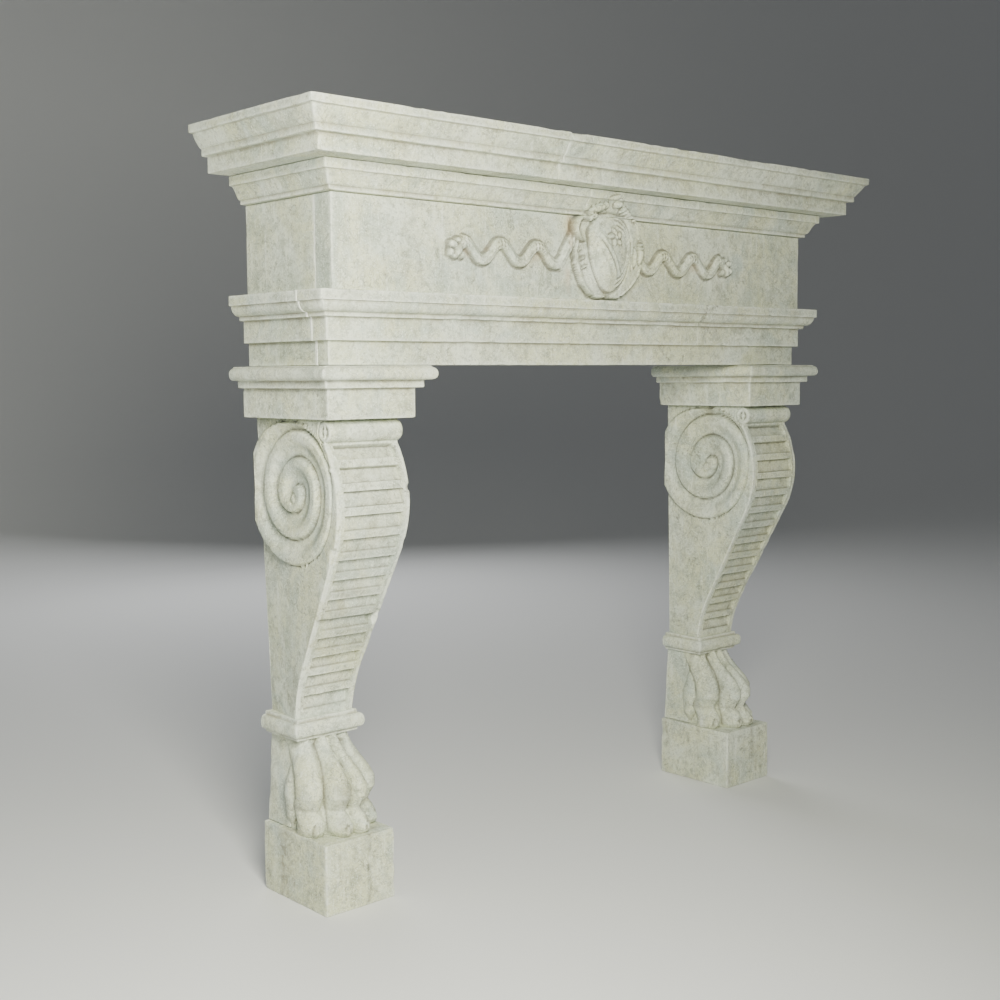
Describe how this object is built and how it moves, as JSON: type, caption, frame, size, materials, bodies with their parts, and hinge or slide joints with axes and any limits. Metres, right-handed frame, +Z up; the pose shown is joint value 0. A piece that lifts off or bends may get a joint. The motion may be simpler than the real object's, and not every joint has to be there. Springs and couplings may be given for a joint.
{
  "type": "fireplace mantel",
  "caption": "Carved limestone fireplace surround with scroll legs on lion paws, a frieze with a cartouche and ribbons, and a moulded shelf.",
  "frame": {"origin": "middle of the footprint of the whole mantel, on the hearth", "axes": "+X along the shelf to the right as seen from the front, -Y out of the front into the room, +Y towards the wall, +Z up"},
  "size_m": [1.6314, 0.4062, 1.5],
  "materials": {
    "limestone": "dressed and carved pale limestone, matt, finely pitted, with brown staining in the hollows and worn arrises"
  },
  "bodies": {
    "root": {"plinth_left": "limestone", "leg_left": "limestone", "capital_left": "limestone", "plinth_right": "limestone", "leg_right": "limestone", "capital_right": "limestone", "architrave_front": "limestone", "architrave_return_left": "limestone", "architrave_return_right": "limestone", "frieze_front": "limestone", "frieze_return_left": "limestone", "frieze_return_right": "limestone", "bed_mould_left": "limestone", "bed_mould_right": "limestone", "cornice_left": "limestone", "cornice_right": "limestone"}
  },
  "joints": []
}
